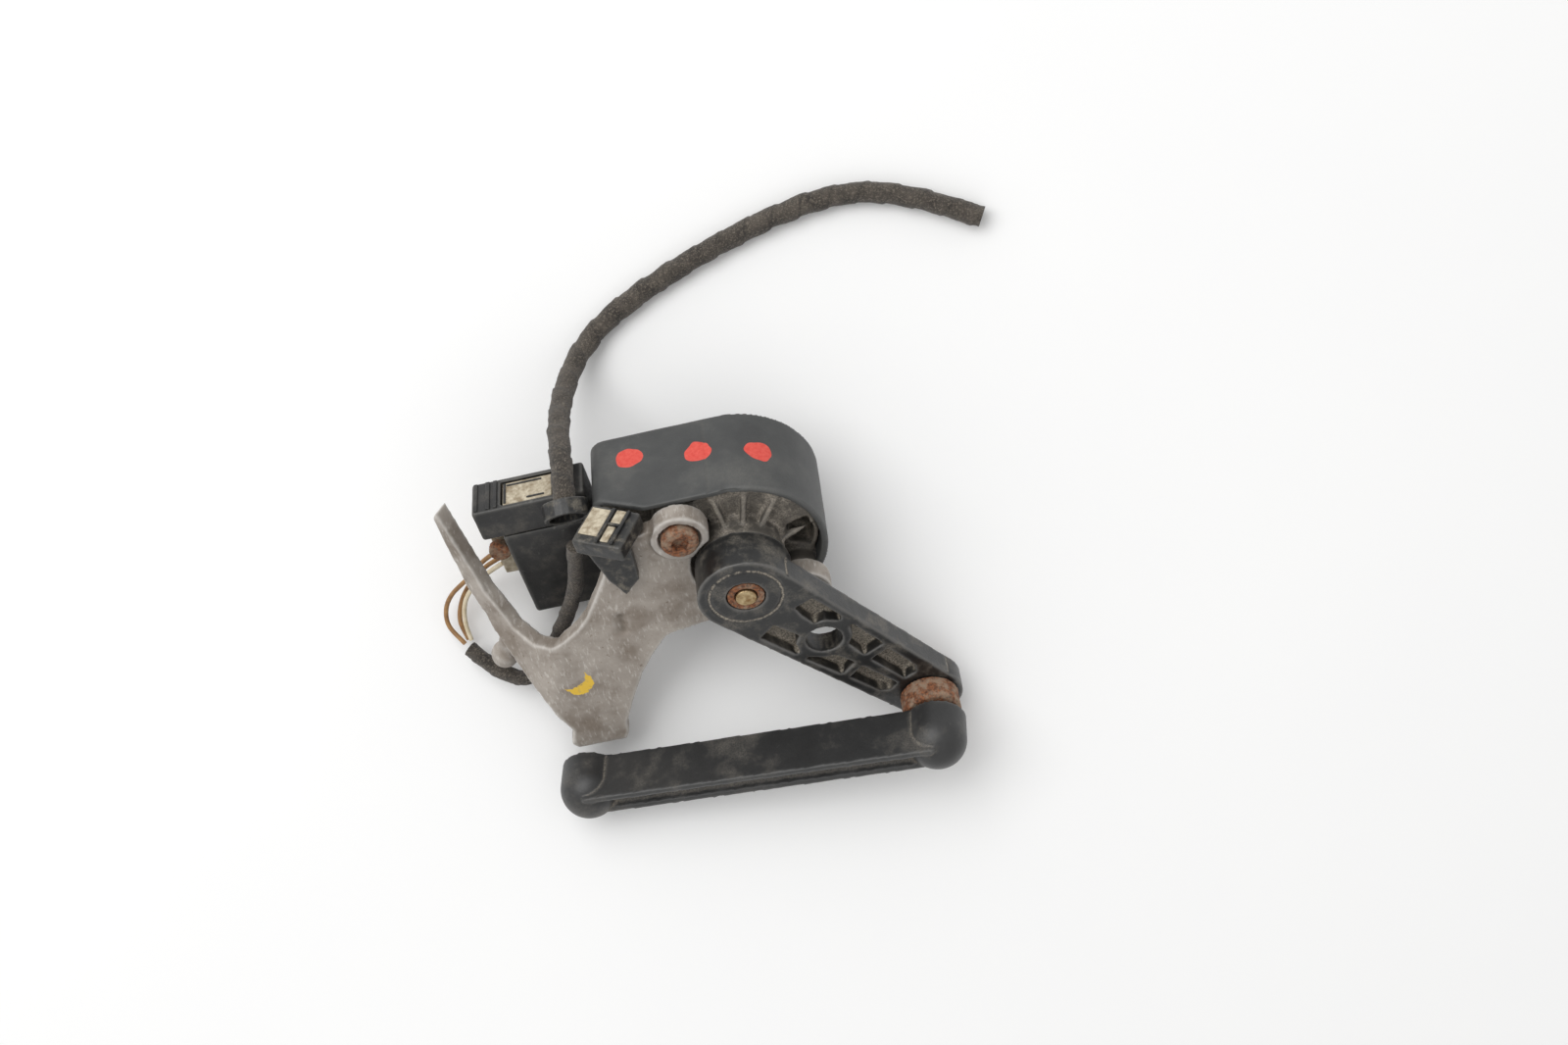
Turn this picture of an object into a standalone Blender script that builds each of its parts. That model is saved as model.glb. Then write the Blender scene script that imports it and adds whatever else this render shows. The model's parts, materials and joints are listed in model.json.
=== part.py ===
"""Vehicle ride-height sensor: a rotary sensor on a cast bracket, with its lever, ball stud and coupling rod."""

import math

import bmesh
import bpy
from mathutils import Matrix, Vector

# Everything is laid out in the sensor's own frame, in millimetres: the origin is the middle of the
# lever hub's front face, +X runs along the housing, +Y along the pivot into the housing, +Z up.
MM = 0.001
LEAN_DEG = 46.74  # tipped back until the lever end and the case's rear edge both lie on the surface
PIVOT_ABOVE = (23.08, 6.052, 54.595)  # the hub face's middle over the world origin

# housing and shell
SHELL_HALF = 26.0
SHELL_LEFT = -39.3
SHELL_FRONT, SHELL_REAR = 18.9, 50.5
SHELL_WALL = 2.0
HOUSING_GAP = 0.3
HOUSING_FRONT, HOUSING_REAR = 24.5, 46.0
WEB_FRONT = 21.0
BOSS_R, BOSS_FRONT = 13.0, 13.3
SCREW_AT = ((-15.0, 16.7), (15.0, -16.7))
POST_R, EAR_R = 7.0, 6.6
INSERT_R, INSERT_BORE_R = 3.6, 2.8
SHAFT_R, BUSH_R = 4.0, 6.0
POCKET_FLOOR = 34.0
RIB_ANGLES = (100, 75, 50, 10)
RUNNING_GAP = 0.1
ROUND_STEPS = 24

# lever and coupling rod
HUB_R, HUB_LENGTH = 14.2, 13.0
STUD_AT = (44.4, -61.1)
LEVER_END_R = 10.6
LEVER_THICK = 7.5
LEVER_HOLE = (31.4, -0.3, 5.5)
COLLAR_R, COLLAR_FRONT = 9.0, -7.9
BALL_R, BALL_Y = 5.0, -17.6
CUP_R, CUP_RIM = 9.1, 8.2
LINER_R, LINER_BORE_R = 7.2, 5.3
FAR_BALL = (-66.2, -5.2, -67.2)

# bracket
PLATE_FRONT, PLATE_THICK = 13.5, 5.0
FOLD_X, FOLD_Z, FOLD_SLANT, FOLD_DEG, FOLD_R = -58.0, -12.0, 0.32, 35.0, 8.0
LEAN_FROM_Z, LEAN_SLOPE = 5.0, 0.145
PAD_R, PAD_FRONT, PAD_REAR = 8.6, 12.0, 18.6
HEAD_R, HEAD_FRONT, HEAD_SEAT = 5.5, 9.9, 14.0

LOCATING_KNOB, KNOB_R = (-82.4, 26.0, -31.3), 4.6

# strap and harness
STRAP_AT, STRAP_ALONG = (-46.8, 27.2, 23.0), (-0.02, 0.847, 0.535)
HARNESS_R = 3.4
# the harness, from the surface under the pivot: x, y and height
HARNESS = [(-46.8, 35.8, 51.1), (-46.5, 41.2, 49.7), (-46.3, 45.9, 47.0), (-46.4, 50.4, 43.4),
           (-46.7, 54.8, 38.8), (-47.0, 59.2, 33.4), (-46.9, 63.7, 27.4), (-46.2, 68.6, 20.9),
           (-44.5, 73.8, 14.3), (-41.7, 79.4, 8.8), (-37.2, 84.8, 5.2), (-31.6, 89.2, 3.8),
           (-25.2, 92.8, 3.6), (-18.0, 96.1, 3.6), (-7.5, 100.2, 3.6), (4.6, 104.2, 3.6), (16.6, 107.6, 3.6),
           (28.6, 110.3, 3.6), (40.5, 112.1, 3.6), (52.0, 112.1, 3.6), (63.2, 109.8, 3.6), (73.8, 105.4, 3.6),
           (83.0, 100.6, 3.6), (91.0, 96.0, 3.6)]


def clear_scene():
    for obj in list(bpy.data.objects):
        bpy.data.objects.remove(obj, do_unlink=True)


def material(name, color, roughness, metallic=0.0):
    mat = bpy.data.materials.new(name)
    mat.use_nodes = True
    shader = mat.node_tree.nodes["Principled BSDF"]
    shader.inputs["Base Color"].default_value = (*color, 1)
    shader.inputs["Roughness"].default_value = roughness
    shader.inputs["Metallic"].default_value = metallic
    mat.diffuse_color = (*color, 1)
    return mat


def empty(name, at, parent=None, turn=None):
    obj = bpy.data.objects.new(name, None)
    bpy.context.scene.collection.objects.link(obj)
    obj.matrix_local = Matrix.Translation(Vector(at) * MM) @ (turn or Matrix()).to_4x4()
    obj.parent = parent
    return obj


def solid(name, bm, parent, mat=None, helper=False):
    """Closes a bmesh in millimetres into an object in metres."""
    bmesh.ops.recalc_face_normals(bm, faces=bm.faces)
    if bm.calc_volume(signed=True) < 0:
        bmesh.ops.reverse_faces(bm, faces=bm.faces)
    bmesh.ops.scale(bm, vec=(MM, MM, MM), verts=bm.verts)
    mesh = bpy.data.meshes.new(name)
    bm.to_mesh(mesh)
    bm.free()
    obj = bpy.data.objects.new(name, mesh)
    bpy.context.scene.collection.objects.link(obj)
    obj.parent = parent
    if helper:
        obj.hide_render = True
        obj.display_type = "WIRE"
    elif mat:
        mesh.materials.append(mat)
    return obj


def boolean(obj, operation, other):
    modifier = obj.modifiers.new(other.name, "BOOLEAN")
    modifier.operation = operation
    modifier.object = other


def cut(obj, *others):
    for other in others:
        boolean(obj, "DIFFERENCE", other)


def join(obj, *others):
    for other in others:
        boolean(obj, "UNION", other)


def circle(centre, radius, start=0, end=360, steps=32, closed=True):
    """Points of an arc in the XZ plane, in degrees from +X towards +Z."""
    count = steps if closed else steps + 1
    angles = [math.radians(start + (end - start) * i / steps) for i in range(count)]
    return [(centre[0] + radius * math.cos(a), centre[1] + radius * math.sin(a)) for a in angles]


def arc(centre, radius, start, end, steps=8):
    return circle(centre, radius, start, end, steps, closed=False)


def extruded(corners, shift):
    """A flat face with these corners, extruded along a shift into a closed prism."""
    bm = bmesh.new()
    face = bm.faces.new([bm.verts.new(corner) for corner in corners])
    made = bmesh.ops.extrude_face_region(bm, geom=[face])
    moved = [item for item in made["geom"] if isinstance(item, bmesh.types.BMVert)]
    bmesh.ops.translate(bm, vec=shift, verts=moved)
    return bm


def prism(outline, y0, y1):
    """A closed prism from an XZ outline, between two depths."""
    return extruded([(x, y0, z) for x, z in outline], (0, y1 - y0, 0))


def cylinder(x, z, radius, y0, y1, steps=ROUND_STEPS):
    return prism(circle((x, z), radius, steps=steps), y0, y1)


def turned(profile, centre=(0, 0, 0), steps=ROUND_STEPS):
    """Spins a closed (radius, y) profile about the line through centre along Y."""
    bm = bmesh.new()
    verts = [bm.verts.new((r, y, 0)) for r, y in profile]
    on_axis = profile[0][0] == 0 and profile[-1][0] == 0
    pairs = list(zip(verts, verts[1:])) + ([] if on_axis else [(verts[-1], verts[0])])
    edges = [bm.edges.new(pair) for pair in pairs]
    bmesh.ops.spin(bm, geom=verts + edges, axis=(0, 1, 0), cent=(0, 0, 0), steps=steps,
                   angle=math.tau, use_merge=True)
    bmesh.ops.remove_doubles(bm, verts=bm.verts, dist=1e-4)
    bmesh.ops.translate(bm, vec=centre, verts=bm.verts)
    return bm


def box(low, high, bevel=0.0):
    bm = bmesh.new()
    bmesh.ops.create_cube(bm, size=1)
    size = [h - l for l, h in zip(low, high)]
    middle = [(h + l) / 2 for l, h in zip(low, high)]
    bmesh.ops.scale(bm, vec=size, verts=bm.verts)
    bmesh.ops.translate(bm, vec=middle, verts=bm.verts)
    if bevel:
        bmesh.ops.bevel(bm, geom=bm.edges, affect="EDGES", offset=bevel, segments=2, profile=0.5)
    return bm


def tube(name, points, radius, parent, mat, per_span=4, resolution=3):
    """A round tube along a smooth curve through the points, in millimetres."""
    smooth = smoothed(points, per_span)
    curve = bpy.data.curves.new(name, "CURVE")
    curve.dimensions = "3D"
    curve.bevel_depth = radius * MM
    curve.bevel_resolution = resolution
    curve.use_fill_caps = True
    spline = curve.splines.new("POLY")
    spline.points.add(len(smooth) - 1)
    for point, place in zip(spline.points, smooth):
        point.co = (*(place * MM), 1)
    obj = bpy.data.objects.new(name, curve)
    bpy.context.scene.collection.objects.link(obj)
    obj.parent = parent
    curve.materials.append(mat)
    return obj


def smoothed(points, per_span):
    """Catmull-Rom through the points, ends included."""
    knots = [Vector(p) for p in points]
    knots = [2 * knots[0] - knots[1]] + knots + [2 * knots[-1] - knots[-2]]
    found = []
    for a, b, c, d in zip(knots, knots[1:], knots[2:], knots[3:]):
        for i in range(per_span):
            t = i / per_span
            found.append(0.5 * (2 * b + (c - a) * t + (2 * a - 5 * b + 4 * c - d) * t * t
                                + (3 * b - a - 3 * c + d) * t ** 3))
    return found + [knots[-2]]


def case_outline(inset):
    """The housing's D shape: square at the connector end, round about the pivot at the other."""
    r = 5.0 - inset if inset < 4 else 1.0
    half, left = SHELL_HALF - inset, SHELL_LEFT + inset
    right = arc((0, 0), half, 90, -90, 20)
    low = arc((left + r, r - half), r, -90, -180, 4)
    high = arc((left + r, half - r), r, 180, 90, 4)
    return right + low + high


def make_housing(root, plastic):
    housing = solid("sensor_housing", prism(case_outline(SHELL_WALL + HOUSING_GAP), BOSS_FRONT, HOUSING_REAR),
                    root, plastic)
    front = solid("front_recess", box((-60, -5, -60), (60, HOUSING_FRONT, 60)), root, helper=True)
    kept = [cylinder(0, 0, BOSS_R, -10, HOUSING_FRONT + 2)]
    kept += [cylinder(x, z, POST_R, SHELL_FRONT, HOUSING_FRONT + 2) for x, z in SCREW_AT]
    web = arc((0, 0), BOSS_R - 1, 0, 118, 10) + arc((0, 0), SHELL_HALF - 2, 118, 0, 10)
    kept.append(prism(web, WEB_FRONT, HOUSING_FRONT + 2))
    for angle in RIB_ANGLES:
        kept.append(rib(angle, BOSS_R - 1, SHELL_HALF, 1.6, 16.5, HOUSING_FRONT + 2))
    for index, bm in enumerate(kept):
        cut(front, solid(f"front_kept_{index}", bm, root, helper=True))
    cut(housing, front)
    ear = solid("lower_ear", cylinder(*SCREW_AT[1], EAR_R, SHELL_FRONT, 33.0), root, helper=True)
    join(housing, ear)
    wedge = arc((0, 0), 15.0, -26, 16, 6) + arc((0, 0), 22.3, 16, -26, 6)
    bores = {
        "deep_pocket": prism(wedge, 20, POCKET_FLOOR - 1.5),
        "rear_pocket": prism(case_outline(4.3), POCKET_FLOOR, 60),
        "magnet_room": cylinder(0, 0, 10, 26.6, POCKET_FLOOR + 1),
        "bush_bore": cylinder(0, 0, BUSH_R + 0.3, 5, POCKET_FLOOR + 1),
        "seal_bore": cylinder(0, 0, 8.3, 5, 16.3),
        "pin_window": box((-42, 38.5, -14), (-30, 43.5, 2)),
    }
    for index, (x, z) in enumerate(SCREW_AT):
        bores[f"insert_bore_{index}"] = cylinder(x, z, INSERT_R + 0.3, 10, 31)
    for name, bm in bores.items():
        cut(housing, solid(name, bm, root, helper=True))


def rib(angle, r0, r1, thick, y0, y1):
    """A web that runs out from the boss at an angle, deeper towards the boss."""
    along = Vector((math.cos(math.radians(angle)), 0, math.sin(math.radians(angle))))
    side = Vector((-along.z, 0, along.x)) * (thick / 2)
    corners = [(r0, y0), (r1, y0 + 5), (r1, y1), (r0, y1)]
    bm = extruded([along * r + Vector((0, y, 0)) - side for r, y in corners], side * 2)
    bmesh.ops.recalc_face_normals(bm, faces=bm.faces)
    return bm


def make_shell(root, plastic):
    shell = solid("protective_shell", prism(case_outline(0), SHELL_FRONT, SHELL_REAR), root, plastic)
    corner = [(-50, 31.8), (-50, 0), (-23, 0), (-23, SHELL_FRONT)]
    corner_cut = extruded([(x, y, -40) for x, y in corner], (0, 0, 80))
    cut(shell,
        solid("shell_room", prism(case_outline(SHELL_WALL), 10, 60), root, helper=True),
        solid("shell_corner", corner_cut, root, helper=True),
        solid("shell_ear_room", cylinder(*SCREW_AT[1], EAR_R + 0.4, 10, 33.5), root, helper=True),
        solid("shell_window", box((-50, 35.5, -20.5), (-30, 46.5, 8.5)), root, helper=True))


def make_inside(root, pivot, mats):
    solid("rear_cover", prism(case_outline(2.6), HOUSING_REAR + 0.3, 49.5), root, mats["plastic"])
    solid("circuit_board", box((-30, 38, -13.5), (14, 39.6, 13.5)), root, mats["board"])
    solid("hall_sensor_chip", box((-3, 35.7, -2.6), (3, 37.7, 2.6), 0.2), root, mats["chip"])
    for index, z in enumerate((-2, -6, -10)):
        pin = box((-62, 40.4, z - 0.5), (-31, 41.4, z + 0.5))
        solid(f"terminal_pin_{index + 1}", pin, root, mats["brass"])
    bush = [(SHAFT_R + RUNNING_GAP, 16.6), (BUSH_R, 16.6), (BUSH_R, 26), (SHAFT_R + RUNNING_GAP, 26)]
    solid("shaft_bush", turned(bush), root, mats["bronze"])
    seal = [(SHAFT_R + 0.3, 14.4), (4.9, 14.4), (4.9, 13.6), (8.0, 13.6), (8.0, 16.0), (SHAFT_R + 0.3, 16.0)]
    solid("shaft_seal", turned(seal), root, mats["rubber"])
    for (x, z), name in zip(SCREW_AT, ("upper", "lower")):
        ring = [(INSERT_BORE_R, 19.3), (INSERT_R, 19.3), (INSERT_R, 30.5), (INSERT_BORE_R, 30.5)]
        solid(f"threaded_insert_{name}", turned(ring, (x, 0, z), 20), root, mats["brass"])
    shaft = [(0, -0.5), (3.1, -0.5), (3.1, 13.4), (SHAFT_R, 13.4), (SHAFT_R, 27), (0, 27)]
    solid("pivot_shaft", turned(shaft), pivot, mats["steel"])
    carrier = [(0, 27.3), (8, 27.3), (8, 31), (0, 31)]
    solid("magnet_carrier", turned(carrier), pivot, mats["carrier"])
    magnet = [(2.5, 31.3), (6.5, 31.3), (6.5, 34.3), (2.5, 34.3)]
    solid("ring_magnet", turned(magnet), pivot, mats["magnet"])


def lever_frame():
    """Unit vectors along the lever and across it, in the XZ plane."""
    length = math.hypot(*STUD_AT)
    along = (STUD_AT[0] / length, STUD_AT[1] / length)
    return along, (-along[1], along[0]), length


def on_lever(points):
    along, side, _ = lever_frame()
    return [(s * along[0] + t * side[0], s * along[1] + t * side[1]) for s, t in points]


def make_lever(pivot, mats):
    _, _, length = lever_frame()
    lift = math.degrees(math.asin((HUB_R - LEVER_END_R) / length))
    outline = circle((0, 0), HUB_R, 90 - lift, 270 + lift, 20, closed=False)
    outline += circle((length, 0), LEVER_END_R, -90 + lift, 90 - lift, 16, closed=False)
    lever = solid("lever_arm", prism(on_lever(outline), 0, LEVER_THICK), pivot, mats["lever"])
    hub = solid("hub_barrel", cylinder(0, 0, HUB_R, LEVER_THICK - 3, HUB_LENGTH, 32), pivot, helper=True)
    join(lever, hub)
    pockets = {
        "pocket_hub_high": [(14.8, 4.8), (19, 3.6), (24.2, 3.2), (25.6, 6.2), (29.5, 8.8), (28, 10.4), (16, 11.0)],
        "pocket_hub_low": [(14.8, -4.4), (24.2, -3.6), (25.8, -6.8), (30, -9.2), (29, -10.4), (15.6, -11.2)],
        "pocket_mid_high": [(33, 9.2), (37.2, 6.0), (38.8, 2.6), (46.3, 1.6), (47.2, 8.8), (34, 9.8)],
        "pocket_mid_low": [(32.4, -9.4), (37, -6.6), (39.2, -3.4), (46.3, -2.6), (47, -9.0), (33.6, -10.2)],
        "pocket_end_high": [(49.2, 1.4), (49.8, 8.2), (62.0, 7.4), (64.6, 5.2), (64.0, 1.0)],
        "pocket_end_low": [(49.2, -2.4), (49.8, -8.6), (62.0, -7.8), (64.4, -5.8), (63.8, -2.0)],
    }
    for name, outline in pockets.items():
        cut(lever, solid(name, prism(on_lever(outline), -5, 4.5), pivot, helper=True))
    hole_at = on_lever([LEVER_HOLE[:2]])[0]
    groove = [(10.3, -2), (11.3, -2), (11.3, 0.6), (10.3, 0.6)]
    cut(lever,
        solid("lever_hole", cylinder(*hole_at, LEVER_HOLE[2], -5, 20, 20), pivot, helper=True),
        solid("hub_bore", cylinder(0, 0, 5.8, -5, 20), pivot, helper=True),
        solid("hub_groove", turned(groove), pivot, helper=True),
        solid("stud_bore", cylinder(*STUD_AT, 4.3, -5, 20, 20), pivot, helper=True))
    insert = [(3.4, 0.2), (5.5, 0.2), (5.5, 12.7), (3.4, 12.7)]
    solid("hub_insert", turned(insert), pivot, mats["rust"])


def make_ball_stud(pivot, mats):
    neck = 3.5
    reach = math.sqrt(BALL_R ** 2 - neck ** 2)
    ball = [(BALL_R * math.sin(a), BALL_Y - BALL_R * math.cos(a))
            for a in [math.radians(d) for d in range(0, 135, 20)]]
    profile = ball + [(neck, BALL_Y + reach + 0.3), (neck, COLLAR_FRONT - 0.5), (COLLAR_R - 0.8, COLLAR_FRONT),
                      (COLLAR_R, COLLAR_FRONT + 0.8), (COLLAR_R, -0.3), (4.0, -0.3), (4.0, LEVER_THICK + 0.3),
                      (6.0, LEVER_THICK + 0.3), (5.6, 10.2), (3.5, 11.6), (0, 12)]
    solid("ball_stud", turned(profile, (STUD_AT[0], 0, STUD_AT[1])), pivot, mats["rust"])


def sphere_arc(radius, start, end, steps):
    """(radius, y) points of a sphere's section, in degrees from the -Y pole."""
    found = []
    for i in range(steps + 1):
        a = math.radians(start + (end - start) * i / steps)
        found.append((radius * math.sin(a), -radius * math.cos(a)))
    return found


def liner_profile():
    mouth = 3.4
    inner_end = 180 - math.degrees(math.acos(mouth / LINER_BORE_R))
    outer_end = 180 - math.degrees(math.acos(mouth / LINER_R))
    inner = sphere_arc(LINER_BORE_R, 0, inner_end, 6)
    outer = sphere_arc(LINER_R, outer_end, 0, 6)
    return [(0, inner[0][1])] + inner[1:] + outer[:-1] + [(0, outer[-1][1])]


def make_rod(rod, far, liner, mats):
    reach = far.x
    half, top, low = 6.0, -8.5, -6.0
    section = [(top, half), (8.1, half), (8.1, 3.6), (4.0, 3.0), (4.0, -3.0), (7.0, -3.8), (7.0, -5.6),
               (low, -5.6), (low, -3.8), (-3.6, -3.0), (-3.6, 3.0), (top, 3.8)]
    bm = extruded([(reach, y, z) for y, z in section], (-reach, 0, 0))
    body = solid("coupling_rod", bm, rod, mats["rod"])
    room = LINER_R + 0.3
    for name, x in (("near", 0.0), ("far", reach)):
        dome = sphere_arc(CUP_R, 0, 90, 6) + [(CUP_R, CUP_RIM), (0, CUP_RIM)]
        dome[0] = (0, -CUP_R)
        join(body, solid(f"{name}_cup", turned(dome, (x, 0, 0)), rod, helper=True))
    for name, x in (("near", 0.0), ("far", reach)):
        cavity = sphere_arc(room, 0, 143, 8) + [(5.6, 6.2), (8.0, CUP_RIM), (8.0, 14), (0, 14)]
        cavity[0] = (0, -room)
        cut(body, solid(f"{name}_cavity", turned(cavity, (x, 0, 0)), rod, helper=True))
    solid("socket_liner_near", turned(liner_profile(), steps=20), liner, mats["liner"])
    solid("socket_liner_far", turned(liner_profile(), (reach, 0, 0), 20), rod, mats["liner"])


def fold_start(z):
    return FOLD_X - FOLD_SLANT * max(0.0, FOLD_Z - z)


def bent(point):
    """Where a point of the flat blank goes: the wing folds back, the leg leans forward."""
    x, y, z = point
    depth = y - PLATE_FRONT
    shift = min(1.0, max(0.0, (-8 - x) / 20))
    shift = shift * shift * (3 - 2 * shift)
    forward = LEAN_SLOPE * max(0.0, LEAN_FROM_Z - z) * shift
    start = fold_start(z)
    if x < start:
        turn = min((start - x) / FOLD_R, math.radians(FOLD_DEG))
        straight = (start - x) - turn * FOLD_R
        x = start - (FOLD_R - depth) * math.sin(turn) - straight * math.cos(turn)
        y = PLATE_FRONT + FOLD_R - (FOLD_R - depth) * math.cos(turn) + straight * math.sin(turn)
    return (x, y - forward, z)


def make_bracket(root, mats):
    outline = [(-91.7, 27.4), (-89.4, 30.1), (-86.2, 8), (-84, -3), (-77.6, -14.5), (-71.1, -18.1),
               (-64, -17.4), (-58.3, -14.5), (-53.5, -11.4), (-49.9, -7.7), (-44.6, 0), (-40.8, 6.1),
               (-38.6, 13.5), (-34, 19.4), (-27, 20.2), (-22.5, 21)]
    outline += arc(SCREW_AT[0], PAD_R - 0.4, 140, 20, 8)
    outline += arc((0, 0), 15.2, 125, 320, 20)
    outline += arc(SCREW_AT[1], PAD_R - 0.4, 60, -90, 8)
    outline += [(6, -24.4), (-6, -22.5), (-16.2, -20.6), (-25.3, -19.8), (-28.6, -20.7), (-34.1, -26.4),
                (-39.7, -33.7), (-44.7, -42.7), (-49.4, -52), (-49.6, -55.4), (-51.2, -58.2), (-66.8, -57.9),
                (-68.3, -56), (-66.4, -50.5), (-71.1, -40.2), (-77.2, -31.8), (-86.1, -17.2),
                (-91.0, -3), (-92.1, 14.1)]
    bm = prism(outline, PLATE_FRONT, PLATE_FRONT + PLATE_THICK)
    lines = [((x, 0, 0), (1, 0, 0)) for x in (-28, -23, -18, -13, -8)]
    lines += [((0, 0, z), (0, 0, 1)) for z in (5, FOLD_Z)]
    for step in range(5):
        x = FOLD_X - FOLD_R * math.radians(FOLD_DEG) * step / 4
        lines.append(((x, 0, 0), (1, 0, 0)))
        lines.append(((x, 0, FOLD_Z), (1, 0, -FOLD_SLANT)))
    for place, normal in lines:
        everything = bm.verts[:] + bm.edges[:] + bm.faces[:]
        bmesh.ops.bisect_plane(bm, geom=everything, plane_co=place, plane_no=normal)
    bmesh.ops.triangulate(bm, faces=bm.faces[:])
    for vert in bm.verts:
        vert.co = bent(vert.co)
    bracket = solid("bracket", bm, root, mats["aluminium"])
    pad_names = ("pad_high", "pad_low")
    for (x, z), name in zip(SCREW_AT, pad_names):
        join(bracket, solid(name, cylinder(x, z, PAD_R, PAD_FRONT, PAD_REAR), root, helper=True))
    join(bracket, locating_knob(root))
    cut(bracket, solid("boss_clearance", cylinder(0, 0, 15.2, -5, 40, 32), root, helper=True))
    for (x, z), name in zip(SCREW_AT, pad_names):
        cut(bracket,
            solid(f"{name}_seat", cylinder(x, z, HEAD_R + 0.8, -5, HEAD_SEAT, 20), root, helper=True),
            solid(f"{name}_bore", cylinder(x, z, 2.9, -5, 40, 20), root, helper=True))


def locating_knob(root):
    """The cast knob that stands out behind the wing's lower edge."""
    knob, foot = Vector(LOCATING_KNOB), Vector((-75.5, 23.8, -17.0))
    along = (foot - knob).normalized()
    turn = Vector((0, 1, 0)).rotation_difference(along).to_matrix().to_4x4()
    length = (foot - knob).length
    ball = sphere_arc(KNOB_R, 0, 135, 5)
    ball[0] = (0, -KNOB_R)
    bm = turned(ball + [(3.0, 4.6), (3.6, length), (0, length)], steps=16)
    bmesh.ops.transform(bm, matrix=Matrix.Translation(knob) @ turn, verts=bm.verts)
    return solid("locating_knob", bm, root, helper=True)


def make_screws(root, mats):
    for (x, z), name in zip(SCREW_AT, ("upper", "lower")):
        profile = [(0, HEAD_FRONT), (HEAD_R - 0.7, HEAD_FRONT), (HEAD_R, HEAD_FRONT + 0.7),
                   (HEAD_R, HEAD_SEAT - 0.3), (2.4, HEAD_SEAT - 0.3), (2.4, 28.6), (1.9, 29.2), (0, 29.2)]
        screw = solid(f"bracket_screw_{name}", turned(profile, (x, 0, z), 20), root, mats["rust"])
        socket = cylinder(x, z, 2.7, HEAD_FRONT - 3, HEAD_FRONT + 2.2, 6)
        cut(screw, solid(f"screw_socket_{name}", socket, root, helper=True))


def make_plug(root, latch, mats):
    plug = solid("plug_housing", box((-76, 34, 11.0), (-41.5, 47, 22.8), 0.8), root, mats["plug"])
    cut(plug, solid("latch_pocket", box((-67, 35.6, 19.2), (-50.5, 45.4, 30)), root, helper=True))
    solid("plug_latch", box((-15.6, -4.5, -0.8), (-0.4, 4.5, 0.8), 0.3), latch, mats["plug"])
    socket = solid("connector_socket", box((-70, 34, -24.5), (-44.5, 49.6, 10.7), 0.8), root, mats["plug"])
    neck = solid("socket_neck", box((-48, 36, -20), (-37.3, 46, 8)), root, helper=True)
    join(socket, neck)
    cut(socket, solid("pin_channel", box((-66, 38.5, -14), (-30, 43.5, 2)), root, helper=True))
    solid("plug_end_cap", box((-76, 41.2, -12), (-70.3, 48.5, 10.7), 0.5), root, mats["sand"])
    screw = [(0, 36.6), (3.0, 36.6), (3.4, 37.0), (3.4, 39.6), (1.6, 39.6), (1.6, 40.9), (0, 40.9)]
    solid("connector_screw", turned(screw, (-73.6, 0, 2), 16), root, mats["rust"])


def make_clip(root, mats):
    """The edge clip on the bracket's arm, with the strap that holds the harness to it."""
    turn = Matrix.Rotation(math.radians(-28), 3, "Z")
    bm = box((-8.0, -7.2, 21.3), (8.0, 7.2, 27.2), 0.8)
    bmesh.ops.rotate(bm, verts=bm.verts, cent=(0, 0, 0), matrix=turn)
    bmesh.ops.translate(bm, vec=(-34.2, 13.4, 0), verts=bm.verts)
    clip = solid("edge_clip", bm, root, mats["clip"])
    tongue = prism([(-41.6, 23), (-28.5, 23), (-29.6, 7), (-35, 1.4), (-38.4, 9)], 9.4, 12.6)
    rear = prism([(-41, 23), (-31, 23), (-32, 12), (-40, 12)], 18.9, 21.2)
    join(clip,
         solid("clip_tongue", tongue, root, helper=True),
         solid("clip_back", rear, root, helper=True))
    ring = [(5.3, -2.5), (6.9, -2.5), (6.9, 2.5), (5.3, 2.5)]
    strap_turn = Vector((0, 1, 0)).rotation_difference(Vector(STRAP_ALONG)).to_matrix().to_4x4()
    bm = turned(ring, steps=20)
    bmesh.ops.transform(bm, matrix=Matrix.Translation(Vector(STRAP_AT)) @ strap_turn, verts=bm.verts)
    solid("clip_strap", bm, root, mats["clip"])


def make_wires(root, mats):
    sleeve = [(-47.5, 22.8, 12.4), (-49.5, 24.5, 4), (-53, 26, -8), (-60, 26.5, -21.5), (-68.5, 25.4, -33.5),
              (-77.6, 22.8, -40.6), (-87, 27.0, -39.8), (-95.2, 33.8, -34.2)]
    tube("tape_sleeve", sleeve, 2.5, root, mats["tape"], 4, 2)
    loops = (
        [(-96.4, 35.3, -33.2), (-100.2, 39.8, -28.5), (-99.6, 42.6, -23.5), (-96, 43.8, -18.6),
         (-89.4, 43.6, -13.2), (-82.5, 43.6, -7.2), (-76.4, 43.6, -3.6)],
        [(-94.0, 35.4, -32.2), (-94.4, 38.4, -27.6), (-93, 40.6, -22), (-89.6, 41.6, -16.9), (-83, 42.8, -12.2),
         (-76.4, 43.2, -9.0)],
        [(-95.4, 37.2, -33.6), (-96.6, 41.2, -28.4), (-94.2, 44.8, -23), (-89.4, 46.7, -17.8), (-83, 47, -12.8),
         (-76.4, 46.8, -9.6)],
    )
    for index, points in enumerate(loops):
        tube(f"wire_{index + 1}", points, 0.75, root, mats[f"wire_{index + 1}"], 4, 2)


def make_harness(surface, mats):
    """The taped pigtail: off the strap, over the plug and down to the surface, cut off at its far end."""
    tube("harness_cable", HARNESS, HARNESS_R, surface, mats["tape"], 2, 2)


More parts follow.
